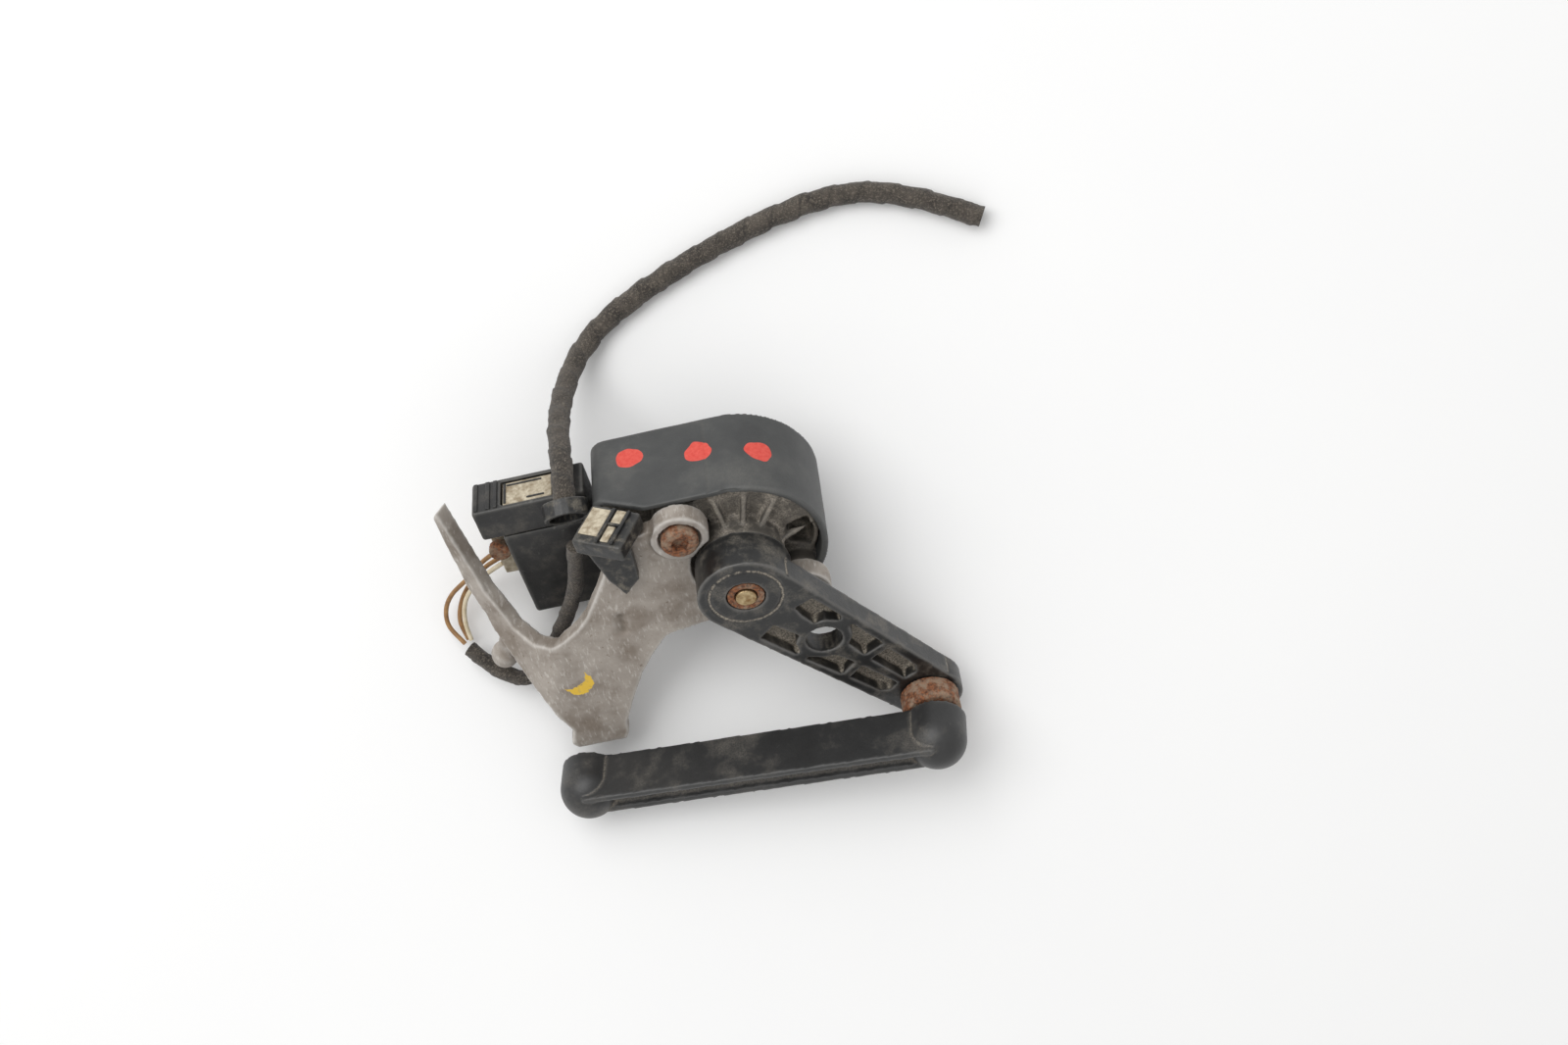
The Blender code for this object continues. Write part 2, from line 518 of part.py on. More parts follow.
def make_all():
    clear_scene()
    mats = {
        "plastic": material("black_nylon", (0.06, 0.062, 0.065), 0.55),
        "shell": material("weathered_black_plastic", (0.115, 0.118, 0.12), 0.5),
        "lever": material("black_glass_filled_nylon", (0.05, 0.05, 0.052), 0.5),
        "rod": material("grey_black_nylon", (0.07, 0.075, 0.08), 0.5),
        "liner": material("white_acetal", (0.75, 0.74, 0.7), 0.4),
        "aluminium": material("cast_aluminium", (0.46, 0.42, 0.38), 0.6, 0.4),
        "rust": material("rusty_steel", (0.34, 0.13, 0.05), 0.85, 0.2),
        "steel": material("bright_steel", (0.6, 0.52, 0.42), 0.35, 1.0),
        "bronze": material("sintered_bronze", (0.5, 0.33, 0.15), 0.5, 1.0),
        "brass": material("brass", (0.7, 0.5, 0.2), 0.35, 1.0),
        "rubber": material("nitrile_rubber", (0.02, 0.02, 0.02), 0.8),
        "board": material("epoxy_board", (0.02, 0.16, 0.06), 0.45),
        "chip": material("moulded_epoxy", (0.015, 0.015, 0.016), 0.5),
        "carrier": material("carrier_nylon", (0.1, 0.1, 0.1), 0.5),
        "magnet": material("ferrite", (0.08, 0.075, 0.075), 0.6),
        "plug": material("plug_nylon", (0.04, 0.042, 0.045), 0.5),
        "sand": material("sand_polyester", (0.45, 0.38, 0.28), 0.7),
        "clip": material("clip_nylon", (0.05, 0.052, 0.056), 0.5),
        "tape": material("cloth_tape", (0.12, 0.1, 0.085), 0.9),
        "wire_1": material("brown_wire", (0.42, 0.3, 0.16), 0.6),
        "wire_2": material("white_wire", (0.68, 0.62, 0.5), 0.6),
        "wire_3": material("tan_wire", (0.5, 0.36, 0.18), 0.6),
    }
    root = empty("lying_frame", PIVOT_ABOVE, turn=Matrix.Rotation(math.radians(-LEAN_DEG), 3, "X"))
    surface = empty("surface_frame", (PIVOT_ABOVE[0], PIVOT_ABOVE[1], 0))
    pivot = empty("pivot_axis", (0, 0, 0), root)
    ball = Vector((STUD_AT[0], BALL_Y, STUD_AT[1]))
    along = (ball - Vector(FAR_BALL)).normalized()
    across = (Vector((0, 1, 0)) - along * along.y).normalized()
    turn = Matrix((along, across, along.cross(across))).transposed()
    liner = empty("ball_centre", ball, pivot)
    rod = empty("rod_frame", (0, 0, 0), liner, turn)
    far = Vector((-(ball - Vector(FAR_BALL)).length, 0, 0))
    latch = empty("latch_hinge", (-50.9, 40.5, 21.5), root)
    make_housing(root, mats["plastic"])
    make_shell(root, mats["shell"])
    make_inside(root, pivot, mats)
    make_lever(pivot, mats)
    make_ball_stud(pivot, mats)
    make_rod(rod, far, liner, mats)
    make_bracket(root, mats)
    make_screws(root, mats)
    make_plug(root, latch, mats)
    make_clip(root, mats)
    make_wires(root, mats)
    make_harness(surface, mats)


make_all()
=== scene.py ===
import json
import math

import bmesh
import bpy
import numpy as np
from mathutils import Matrix, Vector, noise


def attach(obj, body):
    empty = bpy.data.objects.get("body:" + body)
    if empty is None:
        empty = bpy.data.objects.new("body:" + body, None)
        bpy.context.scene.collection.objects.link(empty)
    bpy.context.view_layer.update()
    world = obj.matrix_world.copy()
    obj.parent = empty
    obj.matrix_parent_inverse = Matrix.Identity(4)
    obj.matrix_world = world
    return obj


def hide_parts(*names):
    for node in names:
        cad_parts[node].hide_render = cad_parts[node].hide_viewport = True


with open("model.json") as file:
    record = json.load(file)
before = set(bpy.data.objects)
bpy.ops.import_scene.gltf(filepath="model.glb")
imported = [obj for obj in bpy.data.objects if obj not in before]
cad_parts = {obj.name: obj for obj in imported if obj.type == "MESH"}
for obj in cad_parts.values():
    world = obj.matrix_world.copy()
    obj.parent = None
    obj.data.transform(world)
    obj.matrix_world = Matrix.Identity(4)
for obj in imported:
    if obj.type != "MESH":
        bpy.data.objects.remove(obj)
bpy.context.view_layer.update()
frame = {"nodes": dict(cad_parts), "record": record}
mm = 0.001


# where things are: the sensor's own frame, worked out from its hinge and its far socket
def jointNamed(name):
    joints = frame["record"]["behaviour"]["joints"]
    return next(joint for joint in joints if joint["name"] == name)


def mountNamed(name):
    return next(mount for mount in frame["record"]["mounts"] if mount["name"] == name)


pivot = Vector(jointNamed("lever_swing")["pos_m"])
inward = Vector(jointNamed("lever_swing")["axis"]).normalized()  # along the shaft, into the housing
sideways = Vector((1, 0, 0))
upward = sideways.cross(inward)
ballCentre = Vector(jointNamed("rod_tilt")["pos_m"])
farCentre = Vector(mountNamed("far_socket")["pos_m"])
cupAxis = Vector(mountNamed("far_socket")["axis"]).normalized()


def place(x, y, z):
    # body millimetres to world metres
    return pivot + (sideways * x + inward * y + upward * z) * mm


# camera
view = {
    "lensMm": 45.74, "sensorMm": 36.0, "fromPivotMm": (65.1, 47.0, 571.4), "nearestM": 0.01,
    "across": (0.97432, -0.21255, -0.07436), "up": (0.20786, 0.97594, -0.06599),
}


def setCamera():
    across, up = Vector(view["across"]), Vector(view["up"])
    camera = bpy.data.objects.new("camera", bpy.data.cameras.new("camera"))
    camera.data.lens = view["lensMm"]
    camera.data.sensor_width = view["sensorMm"]
    camera.data.clip_start = view["nearestM"]
    turn = Matrix((across, up, across.cross(up))).transposed().to_4x4()
    camera.matrix_world = Matrix.Translation(pivot + Vector(view["fromPivotMm"]) * mm) @ turn
    bpy.context.scene.collection.objects.link(camera)
    bpy.context.scene.camera = camera


# material tools
def linear(hexColour):
    # an sRGB hex colour as the linear values Blender works in
    parts = [int(hexColour[i:i + 2], 16) / 255 for i in (1, 3, 5)]
    return [c / 12.92 if c <= 0.04045 else ((c + 0.055) / 1.055) ** 2.4 for c in parts] + [1.0]


def addNode(tree, kind, settings, links=None):
    # one node: settings go to its options or its sockets, links come from other nodes' outputs
    node = tree.nodes.new(kind)
    for key, value in settings.items():
        if isinstance(key, str) and hasattr(node, key):
            setattr(node, key, value)
        else:
            node.inputs[key].default_value = value
    for key, source in (links or {}).items():
        tree.links.new(source, node.inputs[key])
    return node


def startMaterial(name, patchesMm, **sockets):
    # a new material, its object coordinates, and one noise for each size of patch
    made = bpy.data.materials.new(name)
    made.use_nodes = True
    tree = made.node_tree
    shader = tree.nodes["Principled BSDF"]
    for key, value in sockets.items():
        shader.inputs[key.replace("_", " ")].default_value = value
    coords = addNode(tree, "ShaderNodeTexCoord", {}).outputs["Object"]
    patches = []
    for sizeMm in patchesMm:
        grain = {"Scale": 1 / (sizeMm * mm), "Detail": 4.0, "Roughness": 0.6}
        patches.append(addNode(tree, "ShaderNodeTexNoise", grain, {"Vector": coords}).outputs["Fac"])
    return made, tree, shader, coords, patches


def paint(tree, under, layers):
    # lays colours over one another: each follows a pattern from low to high, up to its most
    for pattern, low, high, most, over in layers:
        span = {"From Min": low, "From Max": high, "To Max": most}
        amount = addNode(tree, "ShaderNodeMapRange", span, {"Value": pattern}).outputs["Result"]
        colours, links = {"data_type": "RGBA"}, {0: amount}
        for socket, colour in ((6, under), (7, over)):
            if isinstance(colour, str):
                colours[socket] = linear(colour)
            else:
                links[socket] = colour
        under = addNode(tree, "ShaderNodeMix", colours, links).outputs[2]
    return under


def finishSurface(tree, shader, colour, roughness, heights):
    # colour to the shader, roughness as (pattern, low, high, from, to), heights as (pattern, depth in mm)
    pattern, low, high, least, most = roughness
    span = {"From Min": low, "From Max": high, "To Min": least, "To Max": most}
    rough = addNode(tree, "ShaderNodeMapRange", span, {"Value": pattern}).outputs["Result"]
    tree.links.new(colour, shader.inputs["Base Color"])
    tree.links.new(rough, shader.inputs["Roughness"])
    normal = None
    for height, depthMm in heights:
        links = {"Height": height}
        if normal:
            links["Normal"] = normal
        bump = addNode(tree, "ShaderNodeBump", {"Strength": 1.0, "Distance": depthMm * mm}, links)
        normal = bump.outputs["Normal"]
    tree.links.new(normal, shader.inputs["Normal"])


# materials, each named for the real one and how it was made
def mouldedNylon(name, look):
    # Glass-filled nylon, moulded: dull black that road dust lies on, thickest in the hollows,
    # with edges rubbed shinier and greyer.
    made, tree, shader, coords, (wide, fine) = startMaterial(name, (look["patchMm"], 0.5), IOR=1.53)
    hollow = addNode(tree, "ShaderNodeAttribute", {"attribute_name": "hollow"}).outputs["Fac"]
    edge = addNode(tree, "ShaderNodeAttribute", {"attribute_name": "edge"}).outputs["Fac"]
    scratches = {"Scale": 1 / (2.381 * mm), "Detail": 3.0, "Distortion": 1.6}
    scuffs = addNode(tree, "ShaderNodeTexNoise", scratches, {"Vector": coords}).outputs["Fac"]
    film = addNode(tree, "ShaderNodeMapRange", {"From Min": 0.5, "From Max": 0.75, "To Max": look["film"]},
                   {"Value": wide}).outputs["Result"]
    settled = {"operation": "MULTIPLY_ADD", "use_clamp": True, 1: look["inHollows"]}
    lying = addNode(tree, "ShaderNodeMath", settled, {0: hollow, 2: film}).outputs[0]
    grit = addNode(tree, "ShaderNodeMapRange", {"From Min": 0.3, "From Max": 0.62}, {"Value": fine})
    dust = addNode(tree, "ShaderNodeMath", {"operation": "MULTIPLY"}, {0: lying, 1: grit.outputs["Result"]})
    dust = dust.outputs[0]
    colour = paint(tree, look["base"], [
        (wide, 0.35, 0.7, 1, look["faded"]),
        (dust, 0, 1, 1, look["dust"]),
        (edge, 0, 1, look["rubbed"], look["edge"]),
        (scuffs, 0.66, 0.8, look["scuffs"], look["edge"]),
    ])
    finishSurface(tree, shader, colour, (dust, 0, 1, look["rough"], 0.9), [(fine, 0.06), (scuffs, 0.04)])
    return made, tree, shader, coords


nylonLooks = {
    "housing_nylon": {
        "base": "#3A3733", "faded": "#5A554E", "dust": "#A89F92", "edge": "#8F887D",
        "patchMm": 8, "film": 1.0, "inHollows": 0.5, "rubbed": 0.3, "scuffs": 0.2, "rough": 0.6,
    },
    "black_nylon": {
        "base": "#1C1C1C", "faded": "#2C2C2B", "dust": "#8F887C", "edge": "#4F4E4C",
        "patchMm": 9, "film": 0.4, "inHollows": 0.8, "rubbed": 0.4, "scuffs": 0.2, "rough": 0.5,
    },
    "lever_nylon": {
        "base": "#181818", "faded": "#242423", "dust": "#A39A8C", "edge": "#6E6C69",
        "patchMm": 7, "film": 0.45, "inHollows": 1.6, "rubbed": 0.6, "scuffs": 0.2, "rough": 0.34,
    },
    "rod_nylon": {
        "base": "#242424", "faded": "#333333", "dust": "#8E867A", "edge": "#5E5D5B",
        "patchMm": 17, "film": 0.55, "inHollows": 0.7, "rubbed": 0.3, "scuffs": 0.4, "rough": 0.42,
    },
    "plug_nylon": {
        "base": "#1D1D1D", "faded": "#2E2D2C", "dust": "#8D8577", "edge": "#6B6964",
        "patchMm": 6, "film": 0.25, "inHollows": 0.7, "rubbed": 0.5, "scuffs": 0.6, "rough": 0.45,
    },
    "clip_nylon": {
        "base": "#171717", "faded": "#242423", "dust": "#A69C8A", "edge": "#605E5A",
        "patchMm": 3.5, "film": 0.5, "inHollows": 1.2, "rubbed": 0.4, "scuffs": 0.3, "rough": 0.38,
    },
}
shellLook = {
    "base": "#393A3A", "faded": "#484948", "dust": "#77736C", "edge": "#6B6B69",
    "patchMm": 16, "film": 0.3, "inHollows": 0.3, "rubbed": 0.35, "scuffs": 0.3, "rough": 0.55,
}
daubs = {
    "onShellMm": ((-26.5, 40.4), (-5.7, 37.0), (11.8, 34.3)), "shellTopMm": 26.0,
    "radiusMm": 4.1, "smallest": 0.86, "largest": 1.1, "wobbleMm": 5.0, "brushMm": 1.1,
}


def shellPlastic():
    # Weathered polypropylene, moulded: faded to a dull grey, with three daubs of red paint.
    made, tree, shader, coords = mouldedNylon("weathered_shell_plastic", shellLook)
    outline = {"Scale": 1 / (daubs["wobbleMm"] * mm), "Detail": 1.0, "Roughness": 0.6}
    wobble = addNode(tree, "ShaderNodeTexNoise", outline, {"Vector": coords})
    strokes = {"Scale": 1 / (daubs["brushMm"] * mm), "Detail": 4.0, "Roughness": 0.6}
    brush = addNode(tree, "ShaderNodeTexNoise", strokes, {"Vector": coords})
    radius = daubs["radiusMm"] * mm
    sizes = {"From Min": 0.3, "From Max": 0.7,
             "To Min": radius * daubs["smallest"], "To Max": radius * daubs["largest"]}
    size = addNode(tree, "ShaderNodeMapRange", sizes, {"Value": wobble.outputs["Fac"]}).outputs["Result"]
    colour = shader.inputs["Base Color"].links[0].from_socket
    red = paint(tree, "#CE3B30", [(brush.outputs["Fac"], 0.3, 0.8, 1, "#DC5A4C")])
    for x, y in daubs["onShellMm"]:
        z = math.sqrt(daubs["shellTopMm"] ** 2 - x ** 2) if x > 0 else daubs["shellTopMm"]
        centre = {"operation": "DISTANCE", 1: place(x, y, z)}
        away = addNode(tree, "ShaderNodeVectorMath", centre, {0: coords}).outputs["Value"]
        painted = addNode(tree, "ShaderNodeMath", {"operation": "LESS_THAN"}, {0: away, 1: size})
        colour = paint(tree, colour, [(painted.outputs[0], 0, 1, 1, red)])
    tree.links.new(colour, shader.inputs["Base Color"])
    return made


crayon = {
    # a crescent: what lies inside the first circle and outside the second
    "circles": [((-59.5, 8.8, -31.5), 4.8, "LESS_THAN"), ((-61.6, 8.8, -28.2), 5.2, "GREATER_THAN")],
    "raggedMm": 0.5, "colour": "#E2BC45",
}


def castAluminium():
    # Sand-cast aluminium, oxidised: pale warm grey grain with white bloom, brown dirt specks
    # and a dab of yellow crayon, with a painted highlight on its edges and painted shade in its hollows.
    sizesMm = (15, 1.3, 0.4, 1.6)
    made, tree, shader, coords, patches = startMaterial("cast_aluminium", sizesMm, Metallic=0.25)
    wide, grain, fine, crumbs = patches
    edge = addNode(tree, "ShaderNodeAttribute", {"attribute_name": "edge"}).outputs["Fac"]
    hollow = addNode(tree, "ShaderNodeAttribute", {"attribute_name": "hollow"}).outputs["Fac"]
    drawn = addNode(tree, "ShaderNodeMapping", {"Scale": (1, 0.28, 0.28)}, {"Vector": coords}).outputs[0]
    streaks = addNode(tree, "ShaderNodeTexNoise", {"Scale": 1 / (0.8 * mm), "Detail": 3.0, "Roughness": 0.6},
                      {"Vector": drawn}).outputs["Fac"]
    colour = paint(tree, "#8B8279", [
        (wide, 0.35, 0.65, 1, "#AAA299"),
        (streaks, 0.56, 0.76, 0.75, "#D2CDC6"),
        (wide, 0.5, 0.34, 0.6, "#7B6F62"),
        (grain, 0.36, 0.28, 0.7, "#6F6152"),
        (fine, 0.66, 0.72, 0.5, "#6A5744"),
        # darker in the hollows: painted shade
        (hollow, 0, 1, 0.8, "#6E655A"),
        # lighter on the edges: a painted highlight
        (edge, 0, 1, 0.5, "#DAD7D2"),
    ])
    marked = addNode(tree, "ShaderNodeMapRange", {"From Min": 0.28, "From Max": 0.42, "To Min": 0.3},
                     {"Value": grain}).outputs["Result"]
    torn = crayon["raggedMm"] * mm
    span = {"From Min": 0.3, "From Max": 0.7, "To Min": -torn, "To Max": torn}
    ragged = addNode(tree, "ShaderNodeMapRange", span, {"Value": crumbs}).outputs["Result"]
    for centreMm, radiusMm, side in crayon["circles"]:
        centre = {"operation": "DISTANCE", 1: place(*centreMm)}
        away = addNode(tree, "ShaderNodeVectorMath", centre, {0: coords}).outputs["Value"]
        reach = addNode(tree, "ShaderNodeMath", {"operation": "ADD"}, {0: away, 1: ragged}).outputs[0]
        limit = {"operation": side, 1: radiusMm * mm}
        within = addNode(tree, "ShaderNodeMath", limit, {0: reach}).outputs[0]
        marked = addNode(tree, "ShaderNodeMath", {"operation": "MULTIPLY"}, {0: marked, 1: within}).outputs[0]
    colour = paint(tree, colour, [(marked, 0, 1, 1, crayon["colour"])])
    finishSurface(tree, shader, colour, (grain, 0.3, 0.7, 0.72, 0.5), [(grain, 0.07), (fine, 0.05)])
    return made


def rustySteel():
    # Zinc-plated steel, rusted through: flaking brown and orange, pitted.
    made, tree, shader, _, patches = startMaterial("rusty_steel", (3.5, 0.9, 0.35), Metallic=0.15)
    wide, flakes, fine = patches
    colour = paint(tree, "#4B3226", [
        (flakes, 0.35, 0.65, 1, "#97603F"),
        (wide, 0.46, 0.62, 0.75, "#998774"),
        (fine, 0.6, 0.72, 0.6, "#C79A6B"),
    ])
    finishSurface(tree, shader, colour, (flakes, 0, 1, 0.75, 0.95), [(flakes, 0.18), (fine, 0.1)])
    return made


def plainMetal(name, dark, bright, rough):
    # A turned or ground metal piece, tarnished in patches.
    made, tree, shader, _, (patches, fine) = startMaterial(name, (2.0, 0.25), Metallic=1.0)
    colour = paint(tree, dark, [(patches, 0.35, 0.65, 1, bright)])
    finishSurface(tree, shader, colour, (patches, 0, 1, rough, rough + 0.25), [(fine, 0.03)])
    return made


def plainMoulding(name, first, second, rough, patchMm=3.0):
    # A small moulded or pressed piece with a faint mottle and a fine grain.
    made, tree, shader, _, (patches, fine) = startMaterial(name, (patchMm, 0.3), IOR=1.5)
    colour = paint(tree, first, [(patches, 0.35, 0.65, 1, second)])
    finishSurface(tree, shader, colour, (fine, 0, 1, rough, rough + 0.15), [(fine, 0.04)])
    return made


def clothTape():
    # Woven cloth harness tape: dusty brown-black, a weave of 0.5 mm drawn at 0.9 mm, coarse enough
    # to show, darker along each overlap.
    made, tree, shader, _, (wide, fuzz) = startMaterial("cloth_tape", (6.0, 0.6), Sheen_Weight=0.12,
                                                        Sheen_Roughness=0.6)
    along = addNode(tree, "ShaderNodeAttribute", {"attribute_name": "threads"}).outputs["Vector"]
    overlap = addNode(tree, "ShaderNodeAttribute", {"attribute_name": "overlap"}).outputs["Fac"]
    parts = addNode(tree, "ShaderNodeSeparateXYZ", {}, {0: along})
    warp = addNode(tree, "ShaderNodeMath", {"operation": "SINE"}, {0: parts.outputs["X"]})
    weft = addNode(tree, "ShaderNodeMath", {"operation": "SINE"}, {0: parts.outputs["Y"]})
    both = {0: warp.outputs[0], 1: weft.outputs[0]}
    weave = addNode(tree, "ShaderNodeMath", {"operation": "MULTIPLY"}, both)
    colour = paint(tree, "#2C2722", [
        (wide, 0.35, 0.7, 1, "#514A42"),
        (fuzz, 0.5, 0.72, 1, "#756C60"),
        (overlap, 0.86, 1.0, 0.75, "#1E1B18"),
    ])
    finishSurface(tree, shader, colour, (fuzz, 0, 1, 0.95, 0.8), [(weave.outputs[0], 0.07), (fuzz, 0.14)])
    return made


def backdropPaper():
    # Matt white board with a faint mottle.
    made, tree, shader, _, (wide,) = startMaterial("backdrop_board", (120,))
    colour = paint(tree, "#F1F1F1", [(wide, 0, 1, 1, "#F4F4F3")])
    finishSurface(tree, shader, colour, (wide, 0, 1, 0.85, 0.9), [(wide, 0.02)])
    return made


# mesh tools
def newPiece(name, mesh, finish, body):
    piece = bpy.data.objects.new(name, mesh)
    bpy.context.scene.collection.objects.link(piece)
    mesh.materials.clear()
    mesh.materials.append(finish)
    mesh.shade_smooth()
    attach(piece, body)
    return piece


def roundFace(centre, axis, radiusMm, fromMm, toMm, slackMm=0.35, dome=False):
    # a true round face: a cylinder about an axis, or a dome about its centre
    return {"centre": centre, "axis": axis, "radius": radiusMm * mm, "from": fromMm * mm, "to": toMm * mm,
            "slack": slackMm * mm, "dome": dome}


def aboutPivot(radiusMm, fromMm, toMm, xMm=0.0, zMm=0.0):
    # a round face whose axis runs parallel to the shaft
    return roundFace(place(xMm, 0, zMm), inward, radiusMm, fromMm, toMm)


def roundOff(points, normals, rounds):
    # pushes the flats of a faceted cylinder or dome out to its true radius
    leastFacing = 0.85
    for part in rounds:
        rel = points - np.array(part["centre"])
        along = rel @ np.array(part["axis"])
        radial = rel if part["dome"] else rel - np.outer(along, np.array(part["axis"]))
        reach = np.linalg.norm(radial, axis=1)
        facing = np.abs((normals * radial).sum(axis=1)) / np.maximum(reach, 1e-9)
        near = (np.abs(reach - part["radius"]) < part["slack"]) & (facing > leastFacing)
        near &= (along > part["from"]) & (along < part["to"])
        scale = part["radius"] / reach[near]
        points[near] = points[near] + radial[near] * (scale - 1)[:, None]


def neighbourMean(points, edges, count):
    total = np.zeros_like(points)
    for axis in range(3):
        total[:, axis] = np.bincount(edges[:, 0], points[edges[:, 1], axis], len(points))
        total[:, axis] += np.bincount(edges[:, 1], points[edges[:, 0], axis], len(points))
    return total / count[:, None]


# how edges and hollows are measured: they drive wear and dirt, and the bracket's painted highlight and shade
wearAndPaintedLight = {"passes": 8, "edgeFrom": 0.12, "hollowFrom": 0.08, "strength": 2.4, "floorDirt": 0.55,
        "floorFacing": 0.6}


def markEdges(mesh, voxel):
    # stores how sharply the surface turns out (edge) or in (hollow), for wear and dirt,
    # and for the painted highlight on the bracket's edges and the painted shade in its hollows
    points = np.empty(len(mesh.vertices) * 3)
    mesh.vertices.foreach_get("co", points)
    points = points.reshape(-1, 3)
    normals = np.empty(len(mesh.vertices) * 3)
    mesh.vertices.foreach_get("normal", normals)
    normals = normals.reshape(-1, 3)
    edges = np.empty(len(mesh.edges) * 2, np.int32)
    mesh.edges.foreach_get("vertices", edges)
    edges = edges.reshape(-1, 2)
    count = np.maximum(np.bincount(edges.ravel(), minlength=len(points)), 1)
    mean = points
    for _ in range(wearAndPaintedLight["passes"]):
        mean = neighbourMean(mean, edges, count)
    turn = ((mean - points) * normals).sum(axis=1) / voxel
    for name, value in (("edge", -turn - wearAndPaintedLight["edgeFrom"]), ("hollow", turn - wearAndPaintedLight["hollowFrom"])):
        layer = mesh.attributes.new(name, "FLOAT", "POINT")
        layer.data.foreach_set("value", np.clip(value * wearAndPaintedLight["strength"], 0, 1).astype(np.float32))


def dustFloor(mesh, floorMm):
    # dirt lies on what faces out of a recess, between two depths behind the hub's face
    marks = mesh.attributes["hollow"].data
    for vert in mesh.vertices:
        depth = (vert.co - pivot).dot(inward) / mm
        if floorMm[0] < depth < floorMm[1] and vert.normal.dot(inward) < -wearAndPaintedLight["floorFacing"]:
            marks[vert.index].value = max(marks[vert.index].value, wearAndPaintedLight["floorDirt"])


def voxelCopy(node, voxelMm):
    # a CAD solid remeshed finely, its own mesh left alone
    bm = bmesh.new()
    bm.from_mesh(frame["nodes"][node].data)
    bmesh.ops.remove_doubles(bm, verts=bm.verts, dist=1e-6)
    merged = bpy.data.meshes.new(node + "_merged")
    bm.to_mesh(merged)
    bm.free()
    helper = bpy.data.objects.new(node + "_helper", merged)
    bpy.context.scene.collection.objects.link(helper)
    remesh = helper.modifiers.new("voxels", "REMESH")
    remesh.mode = "VOXEL"
    remesh.voxel_size = voxelMm * mm
    graph = bpy.context.evaluated_depsgraph_get()
    mesh = bpy.data.meshes.new_from_object(helper.evaluated_get(graph))
    bpy.data.objects.remove(helper)
    bpy.data.meshes.remove(merged)
    return mesh


def refined(node, shape, finish):
    # the finer copy, softened, with its true round faces, a fine waviness and its dents
    mesh = voxelCopy(node, shape["voxelMm"])
    bm = bmesh.new()
    bm.from_mesh(mesh)
    for _ in range(shape["relax"]):
        bmesh.ops.smooth_vert(bm, verts=bm.verts, factor=0.5, use_axis_x=True, use_axis_y=True,
                              use_axis_z=True)
    bm.normal_update()
    points = np.array([v.co for v in bm.verts])
    normals = np.array([v.normal for v in bm.verts])
    roundOff(points, normals, shape.get("rounds", ()))
    for vert, point, normal in zip(bm.verts, points, normals):
        lift = noise.noise(Vector(point) / (shape["waveMm"] * mm)) * shape["liftMm"] * mm
        for x, y, z, radiusMm, depthMm in shape.get("dents", ()):
            away = (Vector(point) - place(x, y, z)).length / (radiusMm * mm)
            lift -= depthMm * mm * math.exp(-away * away) if away < 3 else 0.0
        vert.co = Vector(point) + Vector(normal) * lift
    bm.to_mesh(mesh)
    bm.free()
    mesh.name = shape["name"]
    markEdges(mesh, shape["voxelMm"] * mm)
    if "floorMm" in shape:
        dustFloor(mesh, shape["floorMm"])
    piece = newPiece(shape["name"], mesh, finish, shape["body"])
    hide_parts(node)
    print("made", shape["name"], len(mesh.polygons), "faces")


# the harness and the taped bundle: cloth tape wound round wires
harness = {
    "route": [(-0.0468, 0.0358, 0.0511), (-0.0465, 0.0412, 0.0497), (-0.0463, 0.0459, 0.0470),
              (-0.0464, 0.0504, 0.0434), (-0.0467, 0.0548, 0.0388), (-0.0470, 0.0592, 0.0334),
              (-0.0469, 0.0637, 0.0274), (-0.0462, 0.0686, 0.0209), (-0.0445, 0.0738, 0.0143),
              (-0.0417, 0.0794, 0.0088), (-0.0372, 0.0848, 0.0052), (-0.0316, 0.0892, 0.0038),
              (-0.0252, 0.0928, 0.0036), (-0.0180, 0.0961, 0.0036), (-0.0075, 0.1002, 0.0036),
              (0.0046, 0.1042, 0.0036), (0.0166, 0.1076, 0.0036), (0.0286, 0.1103, 0.0036),
              (0.0405, 0.1121, 0.0036), (0.0520, 0.1121, 0.0036), (0.0632, 0.1098, 0.0036),
              (0.0738, 0.1054, 0.0036), (0.0830, 0.1006, 0.0036), (0.0910, 0.0960, 0.0036)],
    "diameter": 0.0068, "sides": 20, "tapePitchMm": 9.5, "tapeMm": 0.42, "stepMm": 0.9,
}
bundle = {
    "routeMm": [(-47.5, 22.8, 12.4), (-49.5, 24.5, 4), (-53, 26, -8), (-60, 26.5, -21.5),
                (-68.5, 25.4, -33.5), (-77.6, 22.8, -40.6), (-87, 27.0, -39.8), (-95.2, 33.8, -34.2)],
    "radiusMm": 2.5, "sides": 16, "tapePitchMm": 7.5, "tapeMm": 0.22, "stepMm": 0.8,
}
leads = {
    "radiusMm": 0.75, "sides": 12, "stepMm": 0.7,
    "routesMm": {
        "wire_1": [(-96.4, 35.3, -33.2), (-100.2, 39.8, -28.5), (-99.6, 42.6, -23.5), (-96, 43.8, -18.6),
                   (-89.4, 43.6, -13.2), (-82.5, 43.6, -7.2), (-76.4, 43.6, -3.6)],
        "wire_2": [(-94.0, 35.4, -32.2), (-94.4, 38.4, -27.6), (-93, 40.6, -22), (-89.6, 41.6, -16.9),
                   (-83, 42.8, -12.2), (-76.4, 43.2, -9.0)],
        "wire_3": [(-95.4, 37.2, -33.6), (-96.6, 41.2, -28.4), (-94.2, 44.8, -23), (-89.4, 46.7, -17.8),
                   (-83, 47, -12.8), (-76.4, 46.8, -9.6)],
    },
}
winding = {"wideCreaseMm": 4.5, "wideLiftMm": 0.34, "fineCreaseMm": 1.1, "fineLiftMm": 0.14,
           "levelPhase": 0.75, "threadMm": 0.9, "lowestMm": 0.1}


